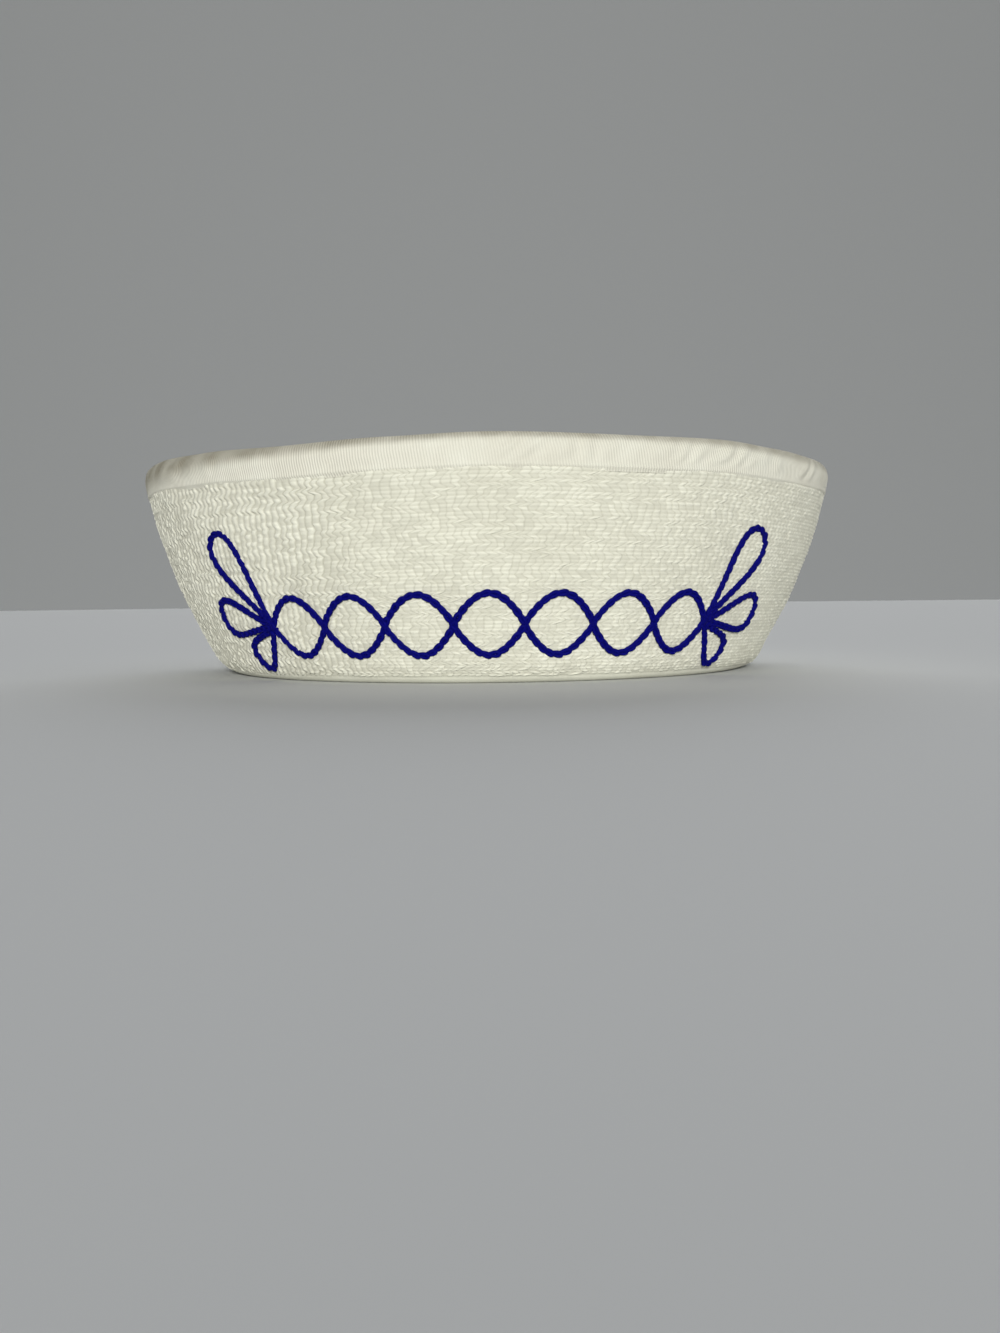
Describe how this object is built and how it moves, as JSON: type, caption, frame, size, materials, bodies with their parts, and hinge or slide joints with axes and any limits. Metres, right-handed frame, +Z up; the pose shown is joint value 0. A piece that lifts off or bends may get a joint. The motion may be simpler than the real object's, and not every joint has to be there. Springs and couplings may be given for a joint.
{
  "type": "sailor cap",
  "caption": "White cotton sailor cap: a round gored crown inside a tall, flared, turned-up brim sewn with close rows and bound along its top edge.",
  "frame": {"origin": "middle of the oval foot on which the cap rests, at the height of the surface below it", "axes": "+Z up through the crown's top; -Y towards the cap's front and +Y towards its back; +X to the right of a viewer who faces the front"},
  "size_m": [0.2316, 0.2432, 0.0774],
  "materials": {
    "brim_cotton": "matt off-white cotton, pebbled by close rows of stitching",
    "binding_twill": "matt off-white cotton twill",
    "crown_twill": "matt off-white cotton twill"
  },
  "bodies": {
    "root": {"brim": "brim_cotton", "brim_binding": "binding_twill", "crown_gore_1": "crown_twill", "crown_gore_2": "crown_twill", "crown_gore_3": "crown_twill", "crown_gore_4": "crown_twill", "crown_gore_5": "crown_twill", "crown_gore_6": "crown_twill"}
  },
  "joints": []
}
